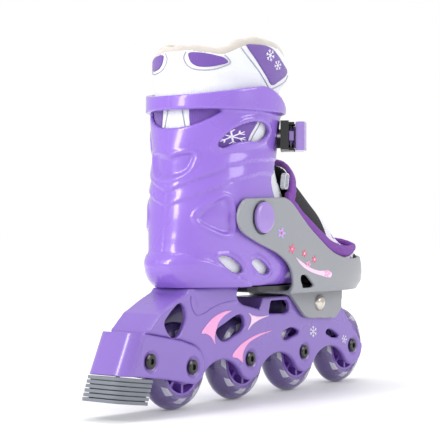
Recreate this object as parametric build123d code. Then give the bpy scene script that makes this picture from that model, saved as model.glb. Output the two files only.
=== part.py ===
from build123d import *
import math
import os

# A child's adjustable inline skate. Drawn in millimetres with X forward, Y to the
# left and Z up, the rear wheel's axle above X = 0 and the ground at Z = 0. Every
# node is then moved back by MIDDLE_X, so that the origin ends up on the ground
# under the middle of the skate.
MIDDLE_X = 88.4

# Wheels, bearings and axles.
WHEEL_R = 32.0
WHEEL_WIDTH = 20.0
WHEEL_PITCH = 75.0
WHEEL_COUNT = 4
HUB_R = 21.5
BEARING_R = 11.0
BEARING_BORE_R = 4.0
BEARING_WIDTH = 7.0
BEARING_OUT = 12.0
AXLE_R = 3.97
SCREW_R = 2.5
CAP_R = 5.5
CAP_RECESS_R = 7.6

# Frame.
RAIL_OUT = 17.0
RAIL_IN = 13.0
RISER_TOP = 88.7
PYLON_TOP = 78.5
FORK_R = 16.0
ARCH_TOP = 34.3
TAIL_OUT = 15.4

# Brake.
HOUSING_OUT = 19.0
BRAKE_BOLT = (-47.5, 39.7)
PAD_TILT = 7.8
PAD_RIBS = 6

# Boot.
SHELL_WALL = 2.8
SOLE_Z = 89.0
SOLE_TOP = 91.8
BAND_PROUD = 3.0
BAND_LOW = 218.8
LINER_GAP = 3.6
LINER_PAD = 5.0
LINING = 2.4
TOE_WALL = 2.8
TOE_OUT = 42.0
TOE_TAPER = 0.6
ARM_TOP = 158.0
GAP = 0.4

# Size adjuster on the arm, and the clamp bolt of the front bracket.
BUTTON = (55.0, 140.3)
BUTTON_R = 11.7
BUTTON_TRAVEL = 2.0
TOE_TRAVEL = 25.0
BRACKET_BOLT = (165.8, 71.4)

# Buckle: where its mount touches the cuff, and which way it faces.
BUCKLE_AT = (87.0, -35.4)
BUCKLE_Z = 203.0
BUCKLE_NORMAL = (0.553, -0.833)
LEVER_PIN = (22.0, 9.2)
PAWL_PIN = (10.0, 8.4)
STRAP_RIVET_X = 64.0
STRAP_LINE = [(57.0, 46.4), (70.0, 45.2), (86.0, 39.6), (102.0, 27.0), (112.5, 8.0), (115.0, -10.0)]

# Boot sections: height, back, place of the widest point, front, half width, squareness.
BOOT = [
    (89.0, -8.0, 85.0, 134.0, 31.5, 2.6),
    (94.0, -13.5, 85.0, 138.0, 34.5, 2.6),
    (103.0, -17.0, 85.0, 142.0, 36.5, 2.5),
    (108.0, -16.5, 83.0, 142.0, 36.8, 2.5),
    (114.0, -12.6, 76.0, 142.0, 36.9, 2.5),
    (126.0, -10.3, 60.0, 142.0, 37.6, 2.4),
    (142.0, -8.5, 44.0, 136.0, 38.0, 2.3),
    (158.0, -6.2, 42.0, 130.0, 38.2, 2.1),
    (172.0, -5.8, 44.0, 121.0, 38.8, 1.95),
    (188.0, -5.0, 48.0, 112.0, 40.5, 1.95),
    (204.0, -2.5, 51.0, 107.0, 43.6, 2.1),
    (222.0, -1.2, 52.0, 109.0, 45.0, 2.2),
    (240.0, -0.5, 53.0, 113.0, 45.8, 2.2),
]
COLLAR = [
    (248.0, -0.8, 54.0, 123.0, 47.0, 2.3),
    (262.0, -1.0, 55.0, 122.0, 46.6, 2.3),
    (286.0, -1.0, 56.0, 115.0, 44.5, 2.2),
]
# Toe sections: height, front, half width.
TOE = [
    (81.5, 228.0, 38.5),
    (88.0, 233.5, 41.6),
    (95.0, 235.0, 42.0),
    (102.0, 234.0, 42.0),
    (109.0, 231.0, 42.0),
    (116.0, 227.0, 42.0),
]
# Instep sections: distance forward and height of the ridge.
INSTEP = [(84.0, 222.0), (104.0, 202.0), (126.0, 184.0), (145.0, 168.0), (163.0, 153.0),
          (178.0, 136.0), (192.0, 125.5), (206.0, 120.5), (219.0, 117.0), (232.0, 110.0)]
INSTEP_BASE = 100.0
INSTEP_HALF = 36.5


def write(name, shape):
    placed = Pos(-MIDDLE_X, 0, 0) * shape
    solids = placed.solids()
    export_step(solids[0] if len(solids) == 1 else Compound(children=list(solids)), f"parts/{name}.step")


def side_line(points):
    """Closed straight outline in the XZ plane."""
    return Polyline(*[(x, 0, z) for x, z in points], close=True)


def side_curve(points):
    """Closed smooth outline in the XZ plane."""
    return Spline(*[(x, 0, z) for x, z in points], periodic=True)


def across(wire, y_from, y_to):
    """Solid of an XZ outline between two Y values."""
    face = Pos(0, y_from, 0) * make_face(wire)
    return extrude(face, amount=y_to - y_from, dir=(0, 1, 0))


def both_sides(wire, y_in, y_out):
    return across(wire, y_in, y_out) + across(wire, -y_out, -y_in)


def block(x0, x1, y0, y1, z0, z1):
    centre = ((x0 + x1) / 2, (y0 + y1) / 2, (z0 + z1) / 2)
    return Pos(*centre) * Box(x1 - x0, y1 - y0, z1 - z0)


def rod(x, z, r, y0, y1):
    """Cylinder along Y."""
    return Pos(x, (y0 + y1) / 2, z) * Rot(90, 0, 0) * Cylinder(r, abs(y1 - y0))


def turned(points, x, z):
    """Solid turned about a Y axis through (x, z), from (radius, y) points."""
    outline = make_face(Polyline(*[(r, y, 0) for r, y in points], close=True))
    return Pos(x, 0, z) * revolve(outline, Axis.Y)


def egg(z, back, centre, front, half, power, inset=0.0, steps=14):
    """Smooth closed plan section, widest at centre, inset evenly."""
    points = []
    for i in range(2 * steps):
        t = math.pi * i / steps
        c, s = math.cos(t), math.sin(t)
        reach = (centre - back if c > 0 else front - centre) - inset
        x = centre - reach * math.copysign(abs(c) ** (2 / power), c)
        y = (half - inset) * math.copysign(abs(s) ** (2 / power), s)
        points.append((x, y, z))
    return make_face(Spline(*points, periodic=True))


def row_at(z, sections):
    """Section at one height, between the two listed beside it."""
    low = max(i for i, row in enumerate(sections[:-1]) if row[0] <= z)
    share = (z - sections[low][0]) / (sections[low + 1][0] - sections[low][0])
    return tuple(a + (b - a) * share for a, b in zip(sections[low], sections[low + 1]))


def boot_form(inset, bottom, sections, rise=0.0):
    """Lofted boot, inset from the outside of the shell; rise carries its top further up."""
    rows = [row_at(bottom, sections)] + [row for row in sections if row[0] > bottom + 4.9]
    rows[-1] = (rows[-1][0] + rise, *rows[-1][1:])
    return loft([egg(*row, inset=inset) for row in rows], ruled=True)


def instep_section(x, top, inset, floor):
    """Arch across the foot at one distance forward."""
    half, rise = INSTEP_HALF - inset, top - INSTEP_BASE - inset
    plane = Plane(origin=(x, 0, INSTEP_BASE), x_dir=(0, 1, 0), z_dir=(1, 0, 0))
    drop = INSTEP_BASE - floor
    arch = EllipticalCenterArc((0, 0), half, rise, start_angle=0, arc_size=180)
    base = Polyline((-half, 0), (-half + 1, -drop), (half - 1, -drop), (half, 0))
    return plane * make_face([*arch.edges(), *base.edges()])


def instep_form(inset, floor, stations):
    return loft([instep_section(x, top, inset, floor) for x, top in stations], ruled=True)


# ---------------------------------------------------------------- wheels

def tyre(x):
    half = WHEEL_WIDTH / 2
    side = [(HUB_R, -half + 0.6), (HUB_R + 2, -half), (25.0, -half + 0.2)]
    crown = [(28.6, -7.4), (30.7, -4.6), (31.7, -2.2), (WHEEL_R, 0)]
    upper = side + crown
    lower = [(r, -y) for r, y in reversed(upper[:-1])]
    return turned(upper + lower, x, WHEEL_R)


def hub(x):
    wide, rim = BEARING_OUT - 0.4, WHEEL_WIDTH / 2 - 0.6
    seat = turned([(BEARING_R, -wide), (13.2, -wide), (13.2, wide), (BEARING_R, wide)], x, WHEEL_R)
    stop = turned([(9.4, -4.9), (BEARING_R, -4.9), (BEARING_R, 4.9), (9.4, 4.9)], x, WHEEL_R)
    rim_ring = turned([(19.4, -rim), (HUB_R, -rim), (HUB_R, rim), (19.4, rim)], x, WHEEL_R)
    web = turned([(13.0, -1.5), (19.6, -1.5), (19.6, 1.5), (13.0, 1.5)], x, WHEEL_R)
    body = seat + stop + rim_ring + web
    for i in range(8):
        spoke = Pos(16.3, 0, 0) * Box(7.0, 2 * rim - 1.5, 2.4)
        body += Pos(x, 0, WHEEL_R) * Rot(0, i * 45, 0) * spoke
    return body


def outer_races(x):
    def race(y):
        ring = [(9.1, y), (BEARING_R, y), (BEARING_R, y + BEARING_WIDTH), (9.1, y + BEARING_WIDTH)]
        return turned(ring, x, WHEEL_R)
    return Compound(children=[race(BEARING_OUT - BEARING_WIDTH), race(-BEARING_OUT)])


def ball_sets(x):
    """Seven balls in each of the two bearings."""
    balls = []
    for side in (1, -1):
        y = side * (BEARING_OUT - BEARING_WIDTH / 2)
        for i in range(7):
            t = 2 * math.pi * i / 7
            balls.append(Pos(x + 7.5 * math.cos(t), y, WHEEL_R + 7.5 * math.sin(t)) * Sphere(1.57))
    return Compound(children=balls)


def inner_races():
    rings = []
    for i in range(WHEEL_COUNT):
        for y in (BEARING_OUT - BEARING_WIDTH, -BEARING_OUT):
            ring = [(BEARING_BORE_R, y), (5.9, y), (5.9, y + BEARING_WIDTH), (BEARING_BORE_R, y + BEARING_WIDTH)]
            rings.append(turned(ring, i * WHEEL_PITCH, WHEEL_R))
    return Compound(children=rings)


def axle_spacers():
    y = BEARING_OUT - BEARING_WIDTH
    tube = [(BEARING_BORE_R, -y), (5.9, -y), (5.9, y), (BEARING_BORE_R, y)]
    return Compound(children=[turned(tube, i * WHEEL_PITCH, WHEEL_R) for i in range(WHEEL_COUNT)])


def domed_head(x, z, y, side, r=CAP_R, rise=2.1):
    """Low dome standing out from y, with a hex socket."""
    profile = [(0, 0), (r, 0), (r, 0.7 * rise), (0.72 * r, rise), (0, rise)]
    dome = turned([(a, y + side * b) for a, b in profile], x, z)
    socket = Plane(origin=(x, y + side * rise, z), z_dir=(0, side, 0)) * RegularPolygon(2.4, 6)
    return dome - extrude(socket, amount=-1.3)


def seat_y(i):
    """Outer face that an axle's head sits on: the rear axle also clamps the brake."""
    return HOUSING_OUT - 1.4 if i == 0 else RAIL_OUT - 1.2


def axle_bolt(x, z, seat):
    """Sleeve nut from the left side."""
    sleeve = rod(x, z, AXLE_R, -seat + 0.2, seat) - rod(x, z, SCREW_R + 0.05, -seat - 1, 3)
    return sleeve + domed_head(x, z, seat, 1)


def axle_screw(x, z, seat):
    return rod(x, z, SCREW_R, -seat, -1) + domed_head(x, z, -seat, -1)


# ---------------------------------------------------------------- frame

def frame_outline():
    """Side outline, from the tail forward over the deck and back under the forks."""
    edges = Polyline(
        (-54, 0, 33.8), (-57, 0, 45), (-50, 0, 60), (-36, 0, 72), (-19, 0, 80), (-5.6, 0, 85.5),
        (-2, 0, RISER_TOP), (58.5, 0, RISER_TOP), (55.8, 0, 81.4), (59, 0, 77.2), (65, 0, 74.2),
        (86.7, 0, 69.6), (91, 0, 78.5), (203.5, 0, 78.5), (204.5, 0, 70), (208.5, 0, 64.9),
        (226.7, 0, 46.5), (WHEEL_PITCH * 3 + FORK_R, 0, WHEEL_R),
    ).edges()
    reach = FORK_R * math.cos(math.radians(30))
    low = WHEEL_R - FORK_R / 2
    last = WHEEL_PITCH * (WHEEL_COUNT - 1)
    edges.append(ThreePointArc((last + FORK_R, 0, WHEEL_R), (last, 0, WHEEL_R - FORK_R), (last - reach, 0, low)))
    for i in range(WHEEL_COUNT - 2, -1, -1):
        x = WHEEL_PITCH * i
        middle = (x + WHEEL_PITCH / 2 - 1, 0, ARCH_TOP)
        edges.append(ThreePointArc((x + WHEEL_PITCH - reach, 0, low), middle, (x + reach, 0, low)))
        if i:
            edges.append(ThreePointArc((x + reach, 0, low), (x, 0, WHEEL_R - FORK_R), (x - reach, 0, low)))
    edges.append(Line((reach, 0, low), (6, 0, 21.6)))
    edges.append(Line((6, 0, 21.6), (-12, 0, 25.6)))
    edges.append(Line((-12, 0, 25.6), (-30, 0, 31)))
    edges.append(Line((-30, 0, 31), (-54, 0, 33.8)))
    return Wire(edges)


def frame_cavities():
    """Wheel wells, and the hollows inside the heel riser and the front pylon."""
    wells = side_line([(-37, -5), (-37, 52), (-34, 60), (-30, 66.2), (260, 66.2), (260, -5)])
    riser = side_line([(-30, 66), (-28, 69.5), (-17.5, 76), (-4, 80.5), (2, 85.2), (54, 85.2),
                       (52.5, 80), (56, 73.5), (61, 69.5), (68, 66)])
    pylon = side_line([(97, 66), (97, 75.4), (199.5, 75.4), (199.5, 66)])
    reach = RAIL_IN
    return across(wells, -reach, reach) + across(riser, -reach, reach) + across(pylon, -reach, reach)


def frame_windows():
    """Openings through both rails."""
    teardrop = [(-30, 66), (-19.5, 75.4), (-10, 78), (-6.5, 74), (-9, 61), (-17, 54), (-26.4, 58.4)]
    first = [(31, 54), (39, 48), (53, 50.7), (67, 59.6), (65, 65), (52, 65), (37, 59.4)]
    second = [(117, 46.8), (119.5, 44.2), (132, 45), (142.5, 48.6), (135, 52.1), (123.5, 51.6)]
    third = [(182.2, 46.2), (185, 48), (193.8, 46.6), (202.8, 41), (193.8, 40.7), (185, 43.6)]
    cuts = [across(side_curve(points), -30, 30) for points in (teardrop, first, second, third)]
    recess = side_line([(99, 65.5), (102, 75.4), (124, 75.4), (128, 72), (128, 66.5), (122, 64.6)])
    return cuts + [across(recess, -30, 30)]


def frame():
    body = across(frame_outline(), -RAIL_OUT, RAIL_OUT) - frame_cavities()
    for cut in frame_windows():
        body -= cut
    tail = side_line([(-70, 20), (-70, 60.5), (-54, 60.2), (-13.5, 53), (4, 48), (10.5, 43.5), (14.2, 36.5),
                      (14.4, 28), (11, 20), (4, 15)])
    body -= both_sides(tail, TAIL_OUT, 30)
    panel = side_line([(1, RISER_TOP - 1), (57, RISER_TOP - 1), (54.5, 81.5), (57, 77), (44, 74.2), (8, 75.5)])
    body += both_sides(panel, RAIL_OUT, RAIL_OUT + 0.8)
    for i in range(WHEEL_COUNT):
        x = WHEEL_PITCH * i
        for side in (1, -1):
            body += rod(x, WHEEL_R, 6.4, side * BEARING_OUT, side * (RAIL_IN + 0.1))
            body -= rod(x, WHEEL_R, CAP_RECESS_R, side * (RAIL_OUT - 1.2), side * 30)
        body -= rod(x, WHEEL_R, AXLE_R + 0.05, -30, 30)
    body -= rod(*BRAKE_BOLT, AXLE_R + 0.05, -30, 30)
    slot_x, slot_z = BRACKET_BOLT
    slot = block(slot_x, slot_x + TOE_TRAVEL, -30, 30, slot_z - 3.4, slot_z + 3.4)
    body -= slot + rod(slot_x, slot_z, 3.4, -30, 30) + rod(slot_x + TOE_TRAVEL, slot_z, 3.4, -30, 30)
    for x in (14, 44):
        body -= Pos(x, 0, RISER_TOP) * Cylinder(3.1, 20)
    return body


# ---------------------------------------------------------------- brake

def brake_housing():
    outline = side_line([(-62, 60.4), (-54, 59.3), (-13.5, 52), (3, 47), (9.5, 42.5), (13, 36), (13.2, 29),
                         (10, 22.5), (4, 19.4), (-4, 20.4), (-32.6, 26.2), (-62.7, 30.3), (-76, 31.4)])
    body = across(outline, -HOUSING_OUT, HOUSING_OUT)
    plan = block(-80, 20, -HOUSING_OUT, HOUSING_OUT, 10, 70)
    plan = fillet(plan.edges().filter_by(Axis.Z).sort_by(Axis.X)[:2], 11)
    body &= plan
    hollow = side_line([(30, 0), (30, 70), (-52, 70), (-52, 60), (-60, 55), (-66, 38), (-66, 34.6),
                        (-36.5, 31.2), (-36.5, 0)])
    body -= across(hollow, -TAIL_OUT - 0.25, TAIL_OUT + 0.25)
    for x, z in ((0, WHEEL_R), BRAKE_BOLT):
        for side in (1, -1):
            body -= rod(x, z, CAP_RECESS_R, side * (HOUSING_OUT - 1.4), side * 30)
        body -= rod(x, z, AXLE_R + 0.05, -30, 30)
    return body - Pos(-61, 0, 30) * Cylinder(2.3, 20)


def brake_pad():
    """Rubber block of stacked ribs, tilted with the underside of its housing."""
    height, groove = 2.35, 0.75
    block_part = None
    for i in range(PAD_RIBS):
        flare = 0.55 * i
        low = -(i + 1) * height - i * groove
        front = 31.5 - 0.9 * i
        rib = block(-1.2 - flare, front, -18.2 - flare / 3, 18.2 + flare / 3, low, low + height)
        rib = fillet(rib.edges().filter_by(Axis.Z).sort_by(Axis.X)[:2], 9)
        core = block(0.4, front - 0.8, -16.5, 16.5, low - groove - 0.01, low + 0.5)
        core = fillet(core.edges().filter_by(Axis.Z).sort_by(Axis.X)[:2], 8)
        rib = rib + core if i < PAD_RIBS - 1 else rib
        block_part = rib if block_part is None else block_part + rib
    placed = Pos(-76, 0, 30.9) * Rot(0, PAD_TILT, 0) * block_part
    return placed - Pos(-61, 0, 26) * Cylinder(1.55, 24)


def brake_pad_screw():
    shank = Pos(-61, 0, 26.2) * Cylinder(1.5, 19)
    return shank + Pos(-61, 0, 35.9 + 1.2) * Cylinder(3.6, 2.4)


# ---------------------------------------------------------------- boot

def shell_side():
    """Side outline of the one-piece rear shell: rim, strap channel, throat, sole."""
    throat = [(125.5, 104), (108, 120), (92, 139), (82, 155), (77.5, 162), (76, 168), (79.5, 176), (85.5, 184)]
    channel = [(95.5, 191), (88, 195.5), (85, 200), (84.5, 216), (96, 221.5)]
    rim = [(90, 224.5), (75, 231), (60, 236), (48, 237.5), (25, 234), (0, 229.5), (-30, 227)]
    return side_line([(-30, 80), (125.5, 80)] + throat + channel + rim)


def shell_openings():
    """Windows, vents and the long slot of the size latch."""
    rear = side_line([(-30, 205), (-1.5, 205.2), (2, 207), (8, 211.5), (17, 218.6), (-30, 218.6)])
    side = [(13.5, 193.5), (18, 200.5), (28, 207.6), (42, 211.4), (56, 209.8), (61.2, 204.7), (57, 199.5),
            (40, 196), (24.4, 193.2), (16, 190.9)]
    front_vent = [(50, 108.5), (56, 110), (65, 106), (72.5, 99), (68, 97.2), (56, 100.5)]
    rear_vent = [(15.5, 111.8), (24, 112.2), (33, 108.4), (40.5, 100.4), (33, 98.6), (21, 105)]
    curves = [across(side_curve(points), -60, 60) for points in (side, front_vent, rear_vent)]
    x, z = BUTTON
    slot = block(x, x + TOE_TRAVEL, -60, 0, z - 3, z + 3)
    slot += rod(x, z, 3, -60, 0) + rod(x + TOE_TRAVEL, z, 3, -60, 0)
    return curves + [across(rear, -60, 60), slot]


def rear_shell():
    body = boot_form(0, SOLE_Z, BOOT)
    body += boot_form(-BAND_PROUD, BAND_LOW, BOOT)
    body -= boot_form(SHELL_WALL, SOLE_TOP, BOOT, 2)
    body &= across(shell_side(), -60, 60)
    for cut in shell_openings():
        body -= cut
    for x in (14, 44):
        body -= Pos(x, 0, SOLE_Z) * Cylinder(3.1, 20)
        body -= Pos(x, 0, 91.2 + 1) * Cylinder(6.4, 2)
    body -= buckle_place((-8, 0, 0)) * Rot(90, 0, 0) * Cylinder(2.1, 20)
    return body - rod(STRAP_RIVET_X, BUCKLE_Z, 2.1, 20, 60)


def heel_bolts():
    bolts = []
    for x in (14, 44):
        head = Pos(x, 0, 91.25 + 0.6) * Cylinder(5.9, 1.2)
        bolts.append(head + Pos(x, 0, 85.6) * Cylinder(3.0, 12))
    return Compound(children=bolts)


def heel_nuts():
    nuts = []
    for x in (14, 44):
        nut = extrude(Pos(x, 0, 80.4) * RegularPolygon(5.6, 6), amount=4.7)
        nuts.append(nut - Pos(x, 0, 82) * Cylinder(3.03, 12))
    return Compound(children=nuts)


def liner_top():
    """Side outline that trims the collar: a dip behind each ankle and a high wing in front."""
    return side_line([(-30, 91), (170, 91), (170, 236), (112, 242), (100, 255), (90, 264), (77, 268.5), (60, 269.6),
                      (42, 268.6), (31, 265.6), (24, 261.2), (18, 258.8), (12, 259.6), (2, 263), (-30, 266)])


def foot_end(x):
    return block(-60, x, -70, 70, 60, 320)


def tongue_slot(half, x_from, z_from):
    return block(x_from, 200, -half, half, z_from, 320)


def boot_sock(outer, inner, floor):
    """Hollow sock between two insets, open at the top and towards the toes."""
    rows = BOOT + COLLAR
    spare = block(84.5, 140, -60, 60, INSTEP_BASE, 184) - instep_form(outer - LINER_GAP + 2.9, 80, INSTEP)
    body = (boot_form(outer, floor, rows) & across(liner_top(), -70, 70)) & foot_end(126.5)
    return body - boot_form(inner, floor + inner - outer, rows, 4) - spare


def liner():
    return boot_sock(LINER_GAP, LINER_GAP + LINER_PAD, 92.6) - tongue_slot(23, 70, 168)


def lining():
    inner = LINER_GAP + LINER_PAD + 0.2
    return boot_sock(inner, inner + LINING, 97.9) - tongue_slot(23, 70, 168)


def tongue():
    rows = BOOT + COLLAR
    body = boot_form(LINER_GAP, 92.6, rows) - boot_form(LINER_GAP + LINER_PAD + 2.6, 95, rows, 4)
    front = block(60, 170, -22.6, 22.6, 168.4, 284)
    top = Plane.YZ.offset(60) * make_face(Spline(
        (-22.6, 262), (-17, 275), (-8, 281.5), (0, 283.4), (8, 281.5), (17, 275), (22.6, 262)).edges()
        + Polyline((22.6, 262), (22.6, 160), (-22.6, 160), (-22.6, 262)).edges())
    return body & front & extrude(top, amount=110)


def insole():
    sole = boot_form(LINER_GAP + LINER_PAD + LINING + 0.8, 100.8, BOOT)
    return sole & block(-60, 124, -60, 60, 100, 103.4)


# ---------------------------------------------------------------- sliding toe

def toe_section(z, front, half, inset=0.0, steps=16):
    """Plan section of the toe part: straight sides behind, slightly closer at the back, round in front."""
    middle, back, y = 150.0, -20.0, half - inset
    points = []
    for i in range(steps + 1):
        t = math.pi * (i / steps - 0.5)
        c, s = max(0.0, math.cos(t)), math.sin(t)
        points.append((middle + (front - middle - inset) * c ** 0.8, y * math.copysign(abs(s) ** 0.8, s), z))
    nose = Spline(*points, tangents=[(1, 0, 0), (-1, 0, 0)])
    rear_y = y - TOE_TAPER
    sides = Polyline((middle, y, z), (back, rear_y, z), (back, -rear_y, z), (middle, -y, z))
    return make_face([*nose.edges(), *sides.edges()])


def toe_form(inset):
    """Toe tray with its floor raised by the inset, and upright walls for the arms above it."""
    rows = [toe_section(z + (inset if z == TOE[0][0] else 0), front, half, inset) for z, front, half in TOE]
    upper = toe_section(*TOE[-1], inset)
    return loft(rows, ruled=True), extrude(upper, amount=ARM_TOP - TOE[-1][0] + inset)


def toe_side():
    """Side outline of the toe part with its arm."""
    edges = [
        Line((97, 0, 81.5), (240, 0, 81.5)), Line((240, 0, 81.5), (240, 0, 110)),
        Line((240, 0, 110), (200, 0, 107.6)),
        Spline((200, 0, 107.6), (184, 0, 107.4), (169, 0, 109.2), (154, 0, 113.4), (136, 0, 123), (117, 0, 135),
               (103, 0, 146), (93, 0, 153), (84, 0, 155.8)),
        Line((84, 0, 155.8), (36, 0, 154.3)),
        Spline((36, 0, 154.3), (28, 0, 149), (24.8, 0, 139), (29, 0, 131), (38.8, 0, 125.8), (46.5, 0, 122.8),
               (63.3, 0, 117.4), (83.4, 0, 109.6), (94.3, 0, 100), (97, 0, 88.5), (97, 0, 81.5)),
    ]
    return Wire(edges)


def toe_shell():
    tray, walls = (outer - inner for outer, inner in zip(toe_form(0), toe_form(TOE_WALL)))
    side = across(toe_side(), -60, 60)
    body = (tray & side) + (walls & side)
    body -= across(side_curve([(108, 95.5), (113, 96), (123, 90), (127, 86.8), (118, 85.6), (110, 87.5)]), -60, 60)
    x, z = BUTTON
    for side in (1, -1):
        body += rod(x, z, 13.4, side * (TOE_OUT - 2.9), side * (TOE_OUT - 0.5))
        body -= rod(x, z, BUTTON_R + 0.4, side * (TOE_OUT - 1.8), side * 60)
        body -= rod(x, z, 2.6, side * 30, side * 60)
    for x in (140, 186):
        body -= Pos(x, 0, 83) * Cylinder(2.2, 8)
        body -= Pos(x, 0, 83.6) * Cylinder(4.3, 1.6)
    return body


def toe_bracket():
    """Saddle under the toe that straddles the front pylon."""
    tab = Wire([
        Line((122.5, 0, 81.2), (141.3, 0, 64)),
        ThreePointArc((141.3, 0, 64), (147, 0, 60.6), (154.6, 0, 59.2)),
        Line((154.6, 0, 59.2), (185, 0, 57.6)),
        ThreePointArc((185, 0, 57.6), (194.5, 0, 59.6), (200.5, 0, 66)),
        Line((200.5, 0, 66), (202, 0, 81.2)), Line((202, 0, 81.2), (122.5, 0, 81.2)),
    ])
    body = both_sides(tab, RAIL_OUT + 0.5, RAIL_OUT + 3.8)
    body += block(122.5, 202, -RAIL_OUT - 1, RAIL_OUT + 1, PYLON_TOP + GAP, 81.2)
    body -= rod(*BRACKET_BOLT, 3.1, -40, 40)
    for x in (140, 186):
        body -= Pos(x, 0, 80) * Cylinder(1.75, 8)
    return body


def bracket_screws():
    screws = []
    for x in (140, 186):
        head = Pos(x, 0, 83.55) * Cylinder(4.0, 1.3)
        screws.append(head + Pos(x, 0, 81.2) * Cylinder(1.7, 4.4))
    return Compound(children=screws)


def bracket_bolt():
    x, z = BRACKET_BOLT
    face = RAIL_OUT + 3.8
    profile = [(0, 0), (6.7, 0), (6.2, -1.6), (4.4, -2.9), (0, -3.6)]
    head = turned([(r, y - face) for r, y in profile], x, z)
    return head + rod(x, z, 3.0, -face, face + 4)


def bracket_nut():
    x, z = BRACKET_BOLT
    face = RAIL_OUT + 3.8
    nut = Plane(origin=(x, face, z), z_dir=(0, 1, 0)) * RegularPolygon(6.4, 6)
    return extrude(nut, amount=4.4) - rod(x, z, 3.03, 0, 60)


def slide_plate():
    """Thin sole plate that fills the gap under the arch as the toe slides out."""
    plan = Plane.XY.offset(84.6) * make_face(Polyline(
        (60, -24), (64, -31), (80, -34), (150, -34), (150, 34), (80, 34), (64, 31), (60, 24), close=True))
    return extrude(plan, amount=3.6)


def toe_sock():
    """Fabric box for the toes, inside the toe part."""
    outer = toe_form(TOE_WALL + GAP)[0] & block(127, 240, -60, 60, 88.6, 130)
    inner = toe_form(TOE_WALL + GAP + 3.2)[0] & block(120, 240, -60, 60, 91.6, 130)
    roof = instep_form(2.9, 80, INSTEP)
    return (outer - inner) & roof


def instep_edge(lift):
    """Lower edge of the instep cover, along the rim of the toe part."""
    return [(98, 149.5 + lift), (103, 144.5 + lift), (117, 133 + lift), (136, 121 + lift), (154, 111 + lift),
            (168, 107 + lift), (184, 106 + lift), (204, 106 + lift)]


def instep_cover_side():
    back = [(240, 106), (240, 130), (178, 150), (134, 190), (128, 184), (116, 169), (104, 156)]
    return side_line(instep_edge(0) + back)


def toe_inside():
    """Upright prism that fits inside the toe part's wall."""
    return extrude(toe_section(80, TOE[-1][1], TOE_OUT, TOE_WALL + GAP), amount=150)


def toe_cover():
    """Printed and mesh fabric over the instep."""
    body = instep_form(0, 80, INSTEP) - instep_form(2.2, 80, INSTEP)
    return body & across(instep_cover_side(), -60, 60) & toe_inside()


def toe_trim():
    """Padded binding round the instep opening and across the toes."""
    body = instep_form(-2.3, 80, INSTEP) - instep_form(-0.3, 80, INSTEP)
    upper = [(x + 3.5, z + 7) for x, z in reversed(instep_edge(1.5)[:-1])]
    band = side_line(instep_edge(1.5) + [(240, 107.5), (240, 130), (216, 130), (208, 115)] + upper)
    rear = side_line([(98, 151), (104, 157), (116, 170), (128, 185), (134, 188), (122, 168), (110, 153),
                      (104, 147)])
    return body & (across(band, -60, 60) + across(rear, -60, 60)) & toe_inside()


def pull_loop():
    """Ribbon loop at the top of the instep cover."""
    place = Plane(origin=(106.6, -27.5, 167.5), z_dir=(0, 1, 0))
    outer = place * SlotOverall(13, 5.6, rotation=80)
    inner = place * SlotOverall(11.4, 4.0, rotation=80)
    return extrude(outer, amount=3, both=True) - extrude(inner, amount=5, both=True)


# ---------------------------------------------------------------- size button

def size_button():
    x, z = BUTTON
    face = TOE_OUT + 0.1 + BUTTON_TRAVEL - 1.6
    profile = [(0, 1.2), (9.4, 1.2), (9.4, 0), (BUTTON_R, 0), (BUTTON_R, 1.9), (10.4, 2.9), (0, 3.3)]
    cap = turned([(r, -face - y) for r, y in profile], x, z)
    return cap


def latch_pin():
    x, z = BUTTON
    head = TOE_OUT + 0.1 + BUTTON_TRAVEL - 1.6 + 1.2
    return rod(x, z, 2.5, -head, -36.7)


def button_spring():
    """Coil spring under the button."""
    x, z = BUTTON
    start = TOE_OUT - 1.8
    path = Helix(pitch=0.62, height=1.5, radius=5.5)
    wire = sweep(Plane(origin=path @ 0, z_dir=path % 0) * Circle(0.24), path)
    return Pos(x, -start - 0.25, z) * Rot(90, 0, 0) * wire


def arm_cap():
    """Fixed cap on the left arm, opposite the button."""
    x, z = BUTTON
    profile = [(0, 0), (BUTTON_R, 0), (BUTTON_R, 3.1), (10.4, 4.1), (0, 4.5)]
    cap = turned([(r, TOE_OUT - 1.8 + y) for r, y in profile], x, z)
    return cap + rod(x, z, 2.5, 39.2, TOE_OUT - 1.7)


# ---------------------------------------------------------------- buckle and strap

def buckle_place(offset):
    """Frame of the buckle: X along the strap, Y outward, Z up."""
    nx, ny = BUCKLE_NORMAL
    along = (-ny, nx, 0)
    plane = Plane(origin=(*BUCKLE_AT, BUCKLE_Z), x_dir=along, z_dir=(0, 0, 1))
    return plane.location * Pos(offset[0], -offset[1], offset[2])


def buckle_block(u0, u1, n0, n1, z0, z1):
    """Block in the buckle's own directions: along, outward, up."""
    return buckle_place((0, 0, 0)) * block(u0, u1, -n1, -n0, z0, z1)


def buckle_pin(u, n, r, z0, z1):
    return buckle_place((u, n, (z0 + z1) / 2)) * Cylinder(r, z1 - z0)


def buckle_base():
    body = buckle_block(-13, 25.5, 0.5, 3.0, -11, 11)
    pin_u, pin_n = LEVER_PIN
    for z0, z1 in ((-11, -8.8), (8.8, 11)):
        body += buckle_block(2, pin_u, 2.9, 11.0, z0, z1) + buckle_pin(pin_u, pin_n, 2.6, z0, z1)
        body += buckle_block(pin_u - 1, pin_u + 2.6, 2.9, pin_n, z0, z1)
    body += buckle_block(-13, -3.2, 2.9, 6.8, -11, 11)
    for (u, n), r in ((LEVER_PIN, 1.55), (PAWL_PIN, 1.25)):
        body -= buckle_pin(u, n, r, -15, 15)
    body -= buckle_place((-8, 4, 0)) * Rot(90, 0, 0) * Cylinder(2.1, 20)
    return body - buckle_place((-8, 5.6, 0)) * Rot(90, 0, 0) * Cylinder(4.9, 2.6)


def buckle_rivet():
    shank = buckle_place((-8, 1.0, 0)) * Rot(90, 0, 0) * Cylinder(2.0, 6.8)
    return shank + buckle_place((-8, 5.5, 0)) * Rot(90, 0, 0) * Cylinder(4.6, 2.2)


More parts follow.
